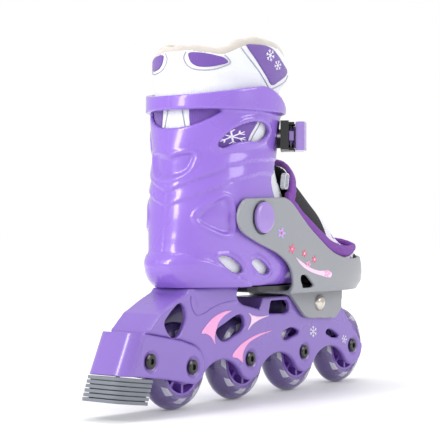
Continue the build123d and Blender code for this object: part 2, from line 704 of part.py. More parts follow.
def buckle_pins():
    pins = [buckle_pin(*LEVER_PIN, 1.5, -11, 11), buckle_pin(*PAWL_PIN, 1.2, -11, 11)]
    return Compound(children=pins)


def buckle_lever():
    """Faceted cover lever, hinged at its front end."""
    nose = Plane.XY.offset(-11) * make_face(Polyline(
        (-3, -13.4), (-1.2, -18.8), (9, -20.4), (21, -18.6), (24, -15), (24, -12), (-3, -12), close=True))
    body = buckle_place((0, 0, 0)) * extrude(nose, amount=22)
    body = chamfer(body.edges().filter_by(Plane.XY).sort_by(Axis.Z)[-4:], 0.8)
    u, n = LEVER_PIN
    body += buckle_pin(u, n, 3.1, -8.4, 8.4) + buckle_block(u - 2.6, u + 2, n, 12.1, -8.4, 8.4)
    return body - buckle_pin(u, n, 1.55, -15, 15)


def buckle_pawl():
    """Square release pawl under the lever's free end."""
    u, n = PAWL_PIN
    body = buckle_block(-2.5, u + 1.4, 7.2, 10.6, -3.5, 3.5)
    body += buckle_pin(u, n, 2.3, -6, 6) + buckle_block(u + 0.4, u + 3.8, 6.2, 9.4, -6, 6)
    return body - buckle_pin(u, n, 1.25, -15, 15)


def pawl_spring():
    """Small torsion coil round the pawl's pin."""
    path = Helix(pitch=0.7, height=1.4, radius=1.75)
    wire = sweep(Plane(origin=path @ 0, z_dir=path % 0) * Circle(0.22), path)
    return buckle_place((*PAWL_PIN, 6.7)) * wire


def strap_curve():
    """Centre line of the strap in plan, ending straight inside the buckle."""
    into = [buckle_place((u, 4.4, 0)).position for u in (26.0, 6.0)]
    points = STRAP_LINE + [(p.X, p.Y) for p in into]
    ny, nx = -BUCKLE_NORMAL[0], BUCKLE_NORMAL[1]
    return Spline(*points, tangents=[(1, 0), (nx, ny)])


def strip(curve, half, z, height, steps=26):
    """Upright band of even thickness along a plan curve."""
    sides = []
    for side in (1, -1):
        row = []
        for i in range(steps + 1):
            p, d = curve @ (i / steps), curve % (i / steps)
            row.append((p.X - side * half * d.Y, p.Y + side * half * d.X))
        sides.append(row)
    left, right = (Spline(*row) for row in sides)
    ends = [Line(sides[0][i], sides[1][i]) for i in (0, -1)]
    return Pos(0, 0, z) * extrude(make_face([left, right, *ends]), amount=height)


def ladder_strap():
    """Toothed strap from the left side of the cuff, round the front, into the buckle."""
    curve = strap_curve()
    band = strip(curve, 0.7, BUCKLE_Z - 7.5, 15)
    for i in range(13):
        share = 0.42 + 0.026 * i
        p, d = curve @ share, curve % share
        turn = math.degrees(math.atan2(d.Y, d.X))
        band += Pos(p.X, p.Y, BUCKLE_Z) * Rot(0, 0, turn) * Pos(0, 0.8, 0) * Box(1.3, 1.0, 10)
    return band - Pos(STRAP_RIVET_X, 45, BUCKLE_Z) * Rot(90, 0, 0) * Cylinder(2.1, 20)


def strap_rivet():
    shank = rod(STRAP_RIVET_X, BUCKLE_Z, 2.0, 41.0, 47.4)
    return shank + rod(STRAP_RIVET_X, BUCKLE_Z, 4.6, 47.25, 48.8)


def main():
    os.makedirs("parts", exist_ok=True)
    for i in range(WHEEL_COUNT):
        x = WHEEL_PITCH * i
        write(f"wheel_{i + 1}_tyre", tyre(x))
        write(f"wheel_{i + 1}_hub", hub(x))
        write(f"wheel_{i + 1}_outer_races", outer_races(x))
        write(f"wheel_{i + 1}_balls", ball_sets(x))
    axles = [(i * WHEEL_PITCH, WHEEL_R, seat_y(i)) for i in range(WHEEL_COUNT)]
    write("bearing_inner_races", inner_races())
    write("axle_spacers", axle_spacers())
    write("axle_bolts", Compound(children=[axle_bolt(*axle) for axle in axles]))
    write("axle_screws", Compound(children=[axle_screw(*axle) for axle in axles]))
    write("brake_bolt", axle_bolt(*BRAKE_BOLT, HOUSING_OUT - 1.4))
    write("brake_bolt_screw", axle_screw(*BRAKE_BOLT, HOUSING_OUT - 1.4))
    for build in (frame, brake_housing, brake_pad, brake_pad_screw, rear_shell, heel_bolts, heel_nuts, liner,
                  lining, tongue, insole, toe_shell, toe_bracket, bracket_screws, bracket_bolt, bracket_nut,
                  slide_plate, toe_sock, toe_cover, toe_trim, pull_loop, size_button, latch_pin,
                  button_spring, arm_cap, buckle_base, buckle_rivet, buckle_pins, buckle_lever, buckle_pawl,
                  pawl_spring, ladder_strap, strap_rivet):
        write(build.__name__, build())


main()
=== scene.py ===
import math

import bmesh
import bpy
import numpy as np
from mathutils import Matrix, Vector
from mathutils.bvhtree import BVHTree
from mathutils.geometry import delaunay_2d_cdt


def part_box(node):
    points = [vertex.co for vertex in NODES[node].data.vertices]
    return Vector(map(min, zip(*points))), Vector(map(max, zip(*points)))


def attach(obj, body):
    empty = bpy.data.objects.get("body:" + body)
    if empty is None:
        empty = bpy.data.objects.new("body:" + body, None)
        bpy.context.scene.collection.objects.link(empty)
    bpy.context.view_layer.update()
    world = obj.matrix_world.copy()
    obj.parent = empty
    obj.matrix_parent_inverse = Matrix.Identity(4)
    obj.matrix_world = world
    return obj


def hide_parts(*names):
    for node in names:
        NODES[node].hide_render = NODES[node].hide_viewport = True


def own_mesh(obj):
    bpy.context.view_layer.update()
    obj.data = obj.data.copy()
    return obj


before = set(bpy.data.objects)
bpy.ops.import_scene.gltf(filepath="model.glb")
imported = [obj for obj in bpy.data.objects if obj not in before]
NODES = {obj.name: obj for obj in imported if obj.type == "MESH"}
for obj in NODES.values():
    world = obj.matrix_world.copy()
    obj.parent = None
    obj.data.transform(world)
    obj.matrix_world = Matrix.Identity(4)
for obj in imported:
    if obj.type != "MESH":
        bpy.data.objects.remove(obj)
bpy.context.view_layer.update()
MM = 0.001
MIDDLE_X = 88.4
WHEEL_XS = [75 * i - MIDDLE_X for i in range(4)]
AXLE_Z = 32.0

EYE = Vector((-0.86415, -0.62154, 0.13341))
LOOK = Vector((0.80161, 0.59782, 0.00496)).normalized()
RIGHT = LOOK.cross(Vector((0, 0, 1))).normalized()
UP = RIGHT.cross(LOOK)
LENS = 111.2
SENSOR = 36
VIEW_SIDE = 440
FOCAL = LENS / SENSOR * VIEW_SIDE

# Middle of the size button, forward of the rear axle and above the ground, in millimetres.
BUTTON = np.array([55.0, 140.3])

# Boot sections in millimetres from the rear axle: height, back, widest place, front, half width.
BOOT = np.array([
    (89, -8, 85, 134, 31.5), (94, -13.5, 85, 138, 34.5), (103, -17, 85, 142, 36.5),
    (108, -16.5, 83, 142, 36.8), (114, -12.6, 76, 142, 36.9), (126, -10.3, 60, 142, 37.6),
    (142, -8.5, 44, 136, 38), (158, -6.2, 42, 130, 38.2), (172, -5.8, 44, 121, 38.8),
    (188, -5, 48, 112, 40.5), (204, -2.5, 51, 107, 43.6), (222, -1.2, 52, 109, 45),
    (240, -0.5, 53, 113, 45.8), (248, -0.8, 54, 123, 47), (262, -1, 55, 122, 46.6),
    (286, -1, 56, 115, 44.5)])


# ---------------------------------------------------------------- materials

def link(tree, a, b):
    tree.links.new(a, b)


def node(tree, kind, **values):
    made = tree.nodes.new(kind)
    for name, value in values.items():
        if hasattr(made, name):
            setattr(made, name, value)
        else:
            made.inputs[name].default_value = value
    return made


def mixed(tree, share, a, b):
    """Colour mix; share is a socket or a number, and each of a and b is a socket or a colour."""
    mix = node(tree, "ShaderNodeMix", data_type="RGBA")
    for source, name, kind in ((share, "Factor", "VALUE"), (a, "A", "RGBA"), (b, "B", "RGBA")):
        socket = next(s for s in mix.inputs if s.name == name and s.type == kind)
        if hasattr(source, "is_output"):
            link(tree, source, socket)
        else:
            socket.default_value = source if kind == "VALUE" else (*source, 1)
    return next(s for s in mix.outputs if s.type == "RGBA")


def noise(tree, place, scale, detail=3.0):
    made = node(tree, "ShaderNodeTexNoise", Scale=scale, Detail=detail)
    link(tree, place, made.inputs["Vector"])
    return made.outputs["Fac"]


def spread(tree, value, low, high, start=0.3, end=0.7):
    made = node(tree, "ShaderNodeMapRange")
    link(tree, value, made.inputs["Value"])
    for name, number in (("From Min", start), ("From Max", end), ("To Min", low), ("To Max", high)):
        made.inputs[name].default_value = number
    return made.outputs["Result"]


def math_node(tree, operation, a, b=0.0):
    made = node(tree, "ShaderNodeMath", operation=operation)
    for source, socket in ((a, made.inputs[0]), (b, made.inputs[1])):
        if hasattr(source, "is_output"):
            link(tree, source, socket)
        else:
            socket.default_value = source
    return made.outputs[0]


def weave_height(tree, place, scale):
    """Over-and-under threads at about 0.3 / scale metres."""
    parts = []
    for direction in ("X", "Z"):
        wave = node(tree, "ShaderNodeTexWave", wave_type="BANDS", bands_direction=direction, Scale=scale)
        wave.inputs["Distortion"].default_value = 0.8
        link(tree, place, wave.inputs["Vector"])
        parts.append(wave.outputs["Fac"])
    return math_node(tree, "ADD", *parts)


def surface(name, colour, rough, metallic=0.0, coat=0.0, sheen=0.0, through=0.0, weave=0.0, grain=700.0,
            bump=0.1, tone=0.12):
    """Base material: uneven tone and roughness, fine relief, and woven threads where weave is set, with
    painted shade in the gaps between the threads.
    """
    made = bpy.data.materials.new(name)
    made.use_nodes = True
    tree = made.node_tree
    shader = tree.nodes["Principled BSDF"]
    place = node(tree, "ShaderNodeTexCoord").outputs["Object"]
    cloudy = noise(tree, place, 22.0)
    fine = noise(tree, place, grain, 6.0)
    dark = tuple(c * (1 - tone) for c in colour)
    light = tuple(min(1, c * (1 + tone)) for c in colour)
    tint = mixed(tree, cloudy, dark, light)
    height = fine
    if weave:
        threads = weave_height(tree, place, weave)
        # Painted shade: the gaps between the threads, where the relief is lowest, are mixed up to 0.28 toward
        # a darker copy of the colour.
        thread_gap_shade = spread(tree, threads, 0.0, 0.28, 0.2, 1.2)
        tint = mixed(tree, thread_gap_shade, tint, tuple(c * 0.55 for c in colour))
        raised = math_node(tree, "MULTIPLY", threads, -0.8)
        height = math_node(tree, "ADD", raised, math_node(tree, "MULTIPLY", fine, 0.4))
    link(tree, tint, shader.inputs["Base Color"])
    link(tree, spread(tree, cloudy, max(0.02, rough - 0.05), rough + 0.08), shader.inputs["Roughness"])
    relief = node(tree, "ShaderNodeBump", Strength=bump, Distance=0.0004 if weave else 0.0002)
    link(tree, height, relief.inputs["Height"])
    link(tree, relief.outputs["Normal"], shader.inputs["Normal"])
    shader.inputs["Metallic"].default_value = metallic
    shader.inputs["Coat Weight"].default_value = coat
    shader.inputs["Coat Roughness"].default_value = 0.08
    shader.inputs["Sheen Weight"].default_value = sheen
    shader.inputs["Transmission Weight"].default_value = through
    return made


def printed(name, ground, marks):
    """Woven fabric with scattered blots; each mark is a colour, a scale and how far the blots reach."""
    made = surface(name, ground, 0.75, weave=420.0, bump=0.35, tone=0.06)
    tree = made.node_tree
    place = node(tree, "ShaderNodeTexCoord").outputs["Object"]
    tint = tree.nodes["Principled BSDF"].inputs["Base Color"].links[0].from_socket
    for colour, scale, reach in marks:
        cells = node(tree, "ShaderNodeTexVoronoi", Scale=scale)
        link(tree, place, cells.inputs["Vector"])
        ragged = math_node(tree, "MULTIPLY", noise(tree, place, scale * 5), 0.25)
        edge = math_node(tree, "ADD", cells.outputs["Distance"], ragged)
        tint = mixed(tree, math_node(tree, "LESS_THAN", edge, reach + 0.1), tint, colour)
    link(tree, tint, tree.nodes["Principled BSDF"].inputs["Base Color"])
    return made


def tyre_material(index):
    """Clear purple urethane with a pale printed band of slanted dashes round each side."""
    made = surface(f"urethane_{index + 1}", (0.21, 0.15, 0.40), 0.16, coat=0.5, through=0.55, tone=0.35,
                   grain=300, bump=0.05)
    tree = made.node_tree
    shader = tree.nodes["Principled BSDF"]
    place = node(tree, "ShaderNodeTexCoord").outputs["Object"]
    centre = node(tree, "ShaderNodeVectorMath", operation="SUBTRACT")
    link(tree, place, centre.inputs[0])
    centre.inputs[1].default_value = (WHEEL_XS[index] * MM, 0, AXLE_Z * MM)
    parts = node(tree, "ShaderNodeSeparateXYZ")
    link(tree, centre.outputs[0], parts.inputs[0])
    x, z = parts.outputs["X"], parts.outputs["Z"]
    squares = math_node(tree, "MULTIPLY", x, x), math_node(tree, "MULTIPLY", z, z)
    radius = math_node(tree, "SQRT", math_node(tree, "ADD", *squares))
    turn = math_node(tree, "MULTIPLY", math_node(tree, "ARCTAN2", z, x), 9.0)
    slant = math_node(tree, "ADD", turn, math_node(tree, "MULTIPLY", radius, 420.0))
    dashes = math_node(tree, "GREATER_THAN", math_node(tree, "SINE", slant), 0.05)
    outside = math_node(tree, "GREATER_THAN", radius, 0.0232)
    ring = math_node(tree, "MULTIPLY", outside, math_node(tree, "LESS_THAN", radius, 0.0272))
    marks = math_node(tree, "MULTIPLY", math_node(tree, "MULTIPLY", ring, dashes), 0.85)
    base = shader.inputs["Base Color"].links[0].from_socket
    link(tree, mixed(tree, marks, base, (0.46, 0.45, 0.52)), shader.inputs["Base Color"])
    clear = math_node(tree, "SUBTRACT", 0.6, math_node(tree, "MULTIPLY", marks, 0.6))
    link(tree, clear, shader.inputs["Transmission Weight"])
    return made


SHELL = surface("shell_purple", (0.245, 0.125, 0.56), 0.27, coat=0.6, grain=900, bump=0.05, tone=0.05)
FRAME_PURPLE = surface("frame_purple", (0.205, 0.115, 0.45), 0.30, coat=0.45, grain=900, bump=0.08, tone=0.06)
HUB = surface("hub_purple", (0.20, 0.09, 0.45), 0.25, coat=0.4, tone=0.1)
LILAC = surface("lilac_plastic", (0.31, 0.20, 0.56), 0.25, coat=0.5, tone=0.08)
GREY = surface("toe_grey", (0.27, 0.28, 0.305), 0.38, coat=0.15, grain=1200, bump=0.18, tone=0.06)
BLACK = surface("black_plastic", (0.014, 0.014, 0.016), 0.35, coat=0.2, bump=0.15)
BLACK_STEEL = surface("black_steel", (0.012, 0.012, 0.013), 0.22, metallic=0.6, coat=0.5, bump=0.1)
STEEL = surface("bearing_steel", (0.56, 0.56, 0.57), 0.2, metallic=1.0, bump=0.1)
ZINC = surface("zinc", (0.50, 0.49, 0.47), 0.34, metallic=1.0, bump=0.2)
NICKEL = surface("nickel", (0.62, 0.58, 0.52), 0.16, metallic=1.0, bump=0.1)
PAD = surface("brake_rubber", (0.17, 0.185, 0.215), 0.5, grain=1600, bump=0.35, tone=0.12)
WHITE = surface("white_fabric", (0.80, 0.82, 0.86), 0.8, sheen=0.3, weave=420.0, bump=0.35, tone=0.05)
PATCH = surface("purple_fabric", (0.155, 0.07, 0.36), 0.75, sheen=0.3, weave=420.0, bump=0.35, tone=0.1)
STITCH = surface("grey_piping", (0.42, 0.42, 0.50), 0.7, weave=900.0, bump=0.4)
BEIGE = surface("beige_lining", (0.50, 0.46, 0.42), 0.95, sheen=0.6, grain=260, bump=0.5, tone=0.2)
SOCK = surface("mesh_black", (0.014, 0.012, 0.018), 0.8, weave=260.0, bump=0.8, tone=0.3)
PRINT = printed("printed_fabric", (0.74, 0.73, 0.80),
                [((0.26, 0.12, 0.46), 95.0, 0.30), ((0.80, 0.30, 0.52), 70.0, 0.24)])
BINDING = surface("purple_binding", (0.19, 0.035, 0.36), 0.7, sheen=0.1, weave=300.0, bump=0.6, tone=0.18)
FOAM = surface("foam", (0.06, 0.06, 0.07), 0.9, grain=500, bump=0.6, tone=0.3)
PINK = surface("pink_print", (0.83, 0.33, 0.62), 0.3, coat=0.4, bump=0.05, tone=0.05)
PALE_PINK = surface("pale_pink_print", (0.85, 0.58, 0.76), 0.3, coat=0.4, bump=0.05, tone=0.05)
LILAC_PRINT = surface("lilac_print", (0.42, 0.32, 0.72), 0.3, coat=0.4, bump=0.05, tone=0.05)
RED_PRINT = surface("red_print", (0.66, 0.10, 0.20), 0.3, coat=0.4, bump=0.05, tone=0.05)
WHITE_PRINT = surface("white_print", (0.80, 0.78, 0.88), 0.4, coat=0.2, bump=0.05, tone=0.04)


def paint(names, made, width=0.0):
    """Material for CAD nodes, with softened edges of the given width in millimetres."""
    for name in names:
        obj = NODES[name]
        obj.data.materials.clear()
        obj.data.materials.append(made)
        if width:
            weld = obj.modifiers.new("join", "WELD")
            weld.merge_threshold = 0.00001
            edge = obj.modifiers.new("edge", "BEVEL")
            edge.width, edge.segments, edge.limit_method = width * MM, 2, "ANGLE"
            edge.angle_limit = math.radians(40)
            edge.use_clamp_overlap = True


# ---------------------------------------------------------------- shapes

def to_mm(points):
    """Metres in the row frame to millimetres from the rear axle."""
    return np.asarray(points) / MM + np.array([MIDDLE_X, 0, 0])


def to_m(points):
    return (np.asarray(points) - np.array([MIDDLE_X, 0, 0])) * MM


def coordinates(mesh):
    flat = np.empty(len(mesh.vertices) * 3, np.float64)
    mesh.vertices.foreach_get("co", flat)
    return flat.reshape(-1, 3)


def normals(mesh):
    flat = np.empty(len(mesh.vertices) * 3, np.float32)
    mesh.vertices.foreach_get("normal", flat)
    return flat.reshape(-1, 3).astype(float)


def set_coordinates(mesh, points):
    mesh.vertices.foreach_set("co", np.asarray(points, np.float32).ravel())
    mesh.update()


def relaxed(mesh, passes, chosen=None):
    """Smooths without shrinking, everywhere or where chosen is true."""
    edges = np.empty(len(mesh.edges) * 2, np.int32)
    mesh.edges.foreach_get("vertices", edges)
    a, b = edges.reshape(-1, 2).T
    count = np.bincount(np.concatenate([a, b]), minlength=len(mesh.vertices))[:, None]
    points = coordinates(mesh)
    ends, others = np.concatenate([a, b]), np.concatenate([b, a])
    for i in range(2 * passes):
        total = np.stack([np.bincount(ends, points[others, k], len(points)) for k in range(3)], 1)
        moved = points + (0.5 if i % 2 == 0 else -0.53) * (total / np.maximum(count, 1) - points)
        points = moved if chosen is None else np.where(chosen[:, None], moved, points)
    set_coordinates(mesh, points)


def add_object(name, mesh, made, body):
    obj = bpy.data.objects.new(name, mesh)
    bpy.context.scene.collection.objects.link(obj)
    mesh.materials.clear()
    mesh.materials.append(made)
    mesh.shade_smooth()
    if body:
        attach(obj, body)
    return obj


def remade(name, source, voxel, passes, made, body):
    """Evenly meshed, softened stand-in for a CAD node."""
    welded = NODES[source].data.copy()
    work = bmesh.new()
    work.from_mesh(welded)
    bmesh.ops.remove_doubles(work, verts=work.verts, dist=0.000005)
    work.to_mesh(welded)
    work.free()
    helper = bpy.data.objects.new("helper", welded)
    bpy.context.scene.collection.objects.link(helper)
    grid = helper.modifiers.new("grid", "REMESH")
    grid.mode, grid.voxel_size = "VOXEL", voxel * MM
    ready = helper.evaluated_get(bpy.context.evaluated_depsgraph_get())
    mesh = bpy.data.meshes.new_from_object(ready)
    bpy.data.objects.remove(helper)
    relaxed(mesh, passes)
    obj = add_object(name, mesh, made, body)
    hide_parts(source)
    return obj


def smooth_rows(z, table):
    """Section values at each height, straight and then smooth between the listed ones."""
    heights = table[:, 0]
    z = np.clip(z, heights[0], heights[-1] - 1e-6)
    i = np.clip(np.searchsorted(heights, z, side="right") - 1, 0, len(heights) - 2)
    gap = np.diff(heights)
    slope = np.diff(table[:, 1:], axis=0) / gap[:, None]
    tangent = np.vstack([slope[:1], (slope[1:] + slope[:-1]) / 2, slope[-1:]])
    tangent[1:-1][(slope[1:] * slope[:-1]) <= 0] = 0
    t = ((z - heights[i]) / gap[i])[:, None]
    low, high, h = table[i, 1:], table[i + 1, 1:], gap[i][:, None]
    straight = low + (high - low) * t
    curved = ((2 * t**3 - 3 * t**2 + 1) * low + (t**3 - 2 * t**2 + t) * h * tangent[i]
              + (3 * t**2 - 2 * t**3) * high + (t**3 - t**2) * h * tangent[i + 1])
    return straight, curved


def even_form(points):
    """Carries points on the boot from straight sections to smoothly joined ones."""
    straight, curved = smooth_rows(points[:, 2], BOOT)
    out = points.copy()
    x = points[:, 0]
    rear = x < straight[:, 1]
    rear_share = (x - straight[:, 1]) / (straight[:, 0] - straight[:, 1])
    front_share = (x - straight[:, 1]) / (straight[:, 2] - straight[:, 1])
    out[:, 0] = np.where(rear, curved[:, 1] + rear_share * (curved[:, 0] - curved[:, 1]),
                         curved[:, 1] + front_share * (curved[:, 2] - curved[:, 1]))
    out[:, 1] = points[:, 1] * curved[:, 3] / straight[:, 3]
    return out


def outline_distance(u, v, corners):
    """Distance to a closed outline in a plane, negative inside."""
    corners = np.asarray(corners, float)
    nearest = np.full(len(u), 1e9)
    inside = np.zeros(len(u), bool)
    for (ax, ay), (bx, by) in zip(corners, np.roll(corners, -1, axis=0)):
        dx, dy = bx - ax, by - ay
        t = np.clip(((u - ax) * dx + (v - ay) * dy) / (dx * dx + dy * dy), 0, 1)
        nearest = np.minimum(nearest, np.hypot(u - ax - t * dx, v - ay - t * dy))
        crosses = ((ay > v) != (by > v)) & (u < dx * (v - ay) / (dy if dy else 1e-9) + ax)
        inside ^= crosses
    return np.where(inside, -nearest, nearest)


def line_distance(points, line):
    """Distance to an open line in space, and the height above or below it."""
    nearest = np.full(len(points), 1e9)
    above = np.zeros(len(points))
    for a, b in zip(np.asarray(line, float)[:-1], np.asarray(line, float)[1:]):
        along = b - a
        t = np.clip((points - a) @ along / (along @ along), 0, 1)
        away = points - a - t[:, None] * along
        d = np.linalg.norm(away, axis=1)
        closer = d < nearest
        above = np.where(closer, away[:, 2], above)
        nearest = np.minimum(nearest, d)
    return nearest, above


def step(value, start, end):
    t = np.clip((value - start) / (end - start), 0, 1)
    return t * t * (3 - 2 * t)


def rounded(corners, times=3):
    """Corner-cut outline."""
    points = np.asarray(corners, float)
    for _ in range(times):
        following = np.roll(points, -1, axis=0)
        cuts = points * 0.78 + following * 0.22, points * 0.22 + following * 0.78
        points = np.stack(cuts, 1).reshape(-1, 2)
    return points


# ---------------------------------------------------------------- pieces laid on a surface

def surface_tree(*objs):
    """Everything in objs as one tree to cast rays on, in the row frame."""
    bpy.context.view_layer.update()
    graph = bpy.context.evaluated_depsgraph_get()
    points, faces = [], []
    for obj in objs:
        ready = obj.evaluated_get(graph)
        mesh = ready.to_mesh()
        start = len(points)
        points += [obj.matrix_world @ v.co for v in mesh.vertices]
        faces += [[start + i for i in face.vertices] for face in mesh.polygons]
        ready.to_mesh_clear()
    return BVHTree.FromPolygons(points, faces)


def cast(tree, u, v, lift):
    """Point on the tree at pixel (u, v) of the square view from EYE, lifted off the surface by lift mm."""
    middle = VIEW_SIDE / 2
    ray = (LOOK + RIGHT * ((u - middle) / FOCAL) + UP * ((middle - v) / FOCAL)).normalized()
    hit, normal, _, _ = tree.ray_cast(EYE, ray)
    if hit is None:
        return None
    if normal.dot(ray) > 0:
        normal = -normal
    return hit + normal * lift * MM


def curve_points(corners, closed=True, smooth=True, density=0.5):
    """Dense points along an outline through its corners."""
    points = np.asarray(corners, float)
    total = len(points)
    out = []
    for i in range(total if closed else total - 1):
        near = [(i + k) % total if closed else min(max(i + k, 0), total - 1) for k in (-1, 0, 1, 2)]
        p = [points[k] for k in near]
        count = max(2, int(np.linalg.norm(p[2] - p[1]) / density))
        for t in np.linspace(0, 1, count, endpoint=False):
            if smooth:
                square = 2 * p[0] - 5 * p[1] + 4 * p[2] - p[3]
                cube = 3 * p[1] - p[0] - 3 * p[2] + p[3]
                out.append(0.5 * (2 * p[1] + (p[2] - p[0]) * t + square * t**2 + cube * t**3))
            else:
                out.append(p[1] + (p[2] - p[1]) * t)
    if not closed:
        out.append(points[-1])
    return np.array(out)


def mirrored(obj, name, body):
    """The same piece on the other side."""
    mesh = obj.data.copy()
    if obj.type == "MESH":
        points = coordinates(mesh)
        points[:, 1] *= -1
        set_coordinates(mesh, points)
        mesh.flip_normals()
    else:
        for point in mesh.splines[0].points:
            point.co[1] *= -1
    twin = bpy.data.objects.new(name, mesh)
    bpy.context.scene.collection.objects.link(twin)
    for old in obj.modifiers:
        new = twin.modifiers.new(old.name, old.type)
        new.thickness, new.offset = old.thickness, old.offset
    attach(twin, body)


def patch(name, corners, tree, made, body, thickness=0.25, smooth=True, grid=1.2, lift=0.06):
    """Thin piece laid on the surface, and its mirror image; its corners are pixels of the view from EYE."""
    edge = curve_points(corners, smooth=smooth)
    low, high = edge.min(0), edge.max(0)
    us, vs = np.meshgrid(np.arange(low[0], high[0], grid), np.arange(low[1], high[1], grid))
    inner = np.stack([us.ravel(), vs.ravel()], 1)
    inner = inner[outline_distance(inner[:, 0], inner[:, 1], edge) < -0.35]
    flat = [Vector(p) for p in np.vstack([edge, inner])]
    ring = [list(range(len(edge)))]
    points, _, faces, *_ = delaunay_2d_cdt(flat, [], ring, 1, 1e-5)
    placed = [cast(tree, p[0], p[1], lift) for p in points]
    kept = [f for f in faces if all(placed[i] is not None for i in f)]
    kept = [f for f in kept if max((placed[f[i]] - placed[f[i - 1]]).length for i in range(3)) < 0.009]
    mesh = bpy.data.meshes.new(name)
    mesh.from_pydata([p or Vector((0, 0, 0)) for p in placed], [], kept)
    work = bmesh.new()
    work.from_mesh(mesh)
    bmesh.ops.delete(work, geom=[v for v in work.verts if not v.link_faces], context="VERTS")
    bmesh.ops.recalc_face_normals(work, faces=work.faces)
    if work.faces and sum(f.normal.dot(LOOK) * f.calc_area() for f in work.faces) > 0:
        bmesh.ops.reverse_faces(work, faces=work.faces)
    work.to_mesh(mesh)
    work.free()
    obj = add_object(name, mesh, made, body)
    thick = obj.modifiers.new("thickness", "SOLIDIFY")
    thick.thickness, thick.offset = thickness * MM, 1.0
    mirrored(obj, name + "_left", body)


def tube(name, points, radius, made, body):
    """Round strand along points in the row frame, metres; radius in millimetres."""
    curve = bpy.data.curves.new(name, "CURVE")
    curve.dimensions, curve.bevel_depth, curve.bevel_resolution = "3D", radius * MM, 3
    curve.use_fill_caps = True
    spline = curve.splines.new("POLY")
    spline.points.add(len(points) - 1)
    for place, point in zip(spline.points, points):
        place.co = (*point, 1)
    curve.materials.append(made)
    obj = bpy.data.objects.new(name, curve)
    bpy.context.scene.collection.objects.link(obj)
    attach(obj, body)
    return obj


def seam(name, corners, tree, made, body, radius=0.45):
    """Raised line on the surface, and its mirror image; its corners are pixels of the view from EYE."""
    points = [cast(tree, u, v, 0.2) for u, v in curve_points(corners, closed=False, density=0.8)]
    points = [p for p in points if p is not None]
    obj = tube(name, points, radius, made, body)
    mirrored(obj, name + "_left", body)


# ---------------------------------------------------------------- small hardware and wheels

for i in range(4):
    wheel = f"wheel_{i + 1}"
    paint([wheel + "_tyre"], tyre_material(i))
    paint([wheel + "_hub"], HUB, 0.3)
    paint([wheel + "_outer_races", wheel + "_balls"], STEEL)
paint(["bearing_inner_races", "axle_spacers"], STEEL)
paint(["axle_bolts", "axle_screws", "brake_bolt", "brake_bolt_screw"], BLACK_STEEL, 0.25)
paint(["brake_pad_screw", "heel_bolts", "heel_nuts", "buckle_pins", "buckle_rivet", "strap_rivet",
       "bracket_screws", "bracket_nut", "button_spring", "pawl_spring", "latch_pin"], ZINC, 0.15)
paint(["bracket_bolt"], NICKEL, 0.3)
paint(["brake_pad"], PAD, 0.4)
paint(["slide_plate", "buckle_base", "ladder_strap"], BLACK, 0.35)
paint(["size_button", "arm_cap", "buckle_lever", "buckle_pawl"], LILAC, 0.5)
paint(["insole"], FOAM, 0.5)


def coil(name, source, centre, y_from, y_to, radius, wire, turns, made):
    """Spring wound along Y, as a mesh."""
    steps, around = 40 * turns, 10
    points = []
    for i in range(steps + 1):
        t = 2 * math.pi * i / 40
        across = np.array([math.cos(t), 0, math.sin(t)])
        middle = np.array([centre[0], y_from + (y_to - y_from) * i / steps, centre[1]]) + radius * across
        for k in range(around):
            a = 2 * math.pi * k / around
            points.append(middle + wire * (across * math.cos(a) + np.array([0, math.sin(a), 0])))
    faces = []
    for i in range(steps):
        this, following = i * around, (i + 1) * around
        for k in range(around):
            beside = (k + 1) % around
            faces.append((this + k, following + k, following + beside, this + beside))
    faces += [tuple(range(around)), tuple(steps * around + k for k in range(around - 1, -1, -1))]
    mesh = bpy.data.meshes.new(name)
    mesh.from_pydata([tuple(p) for p in to_m(np.array(points))], [], faces)
    obj = add_object(name, mesh, made, "toe")
    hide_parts(source)
    return obj


low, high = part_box("button_spring")
spring = coil("return_coil", "button_spring", BUTTON, high.y / MM - 0.25, low.y / MM + 0.25, 5.5, 0.22, 3,
              ZINC)
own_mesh(spring)


# ---------------------------------------------------------------- moulded parts

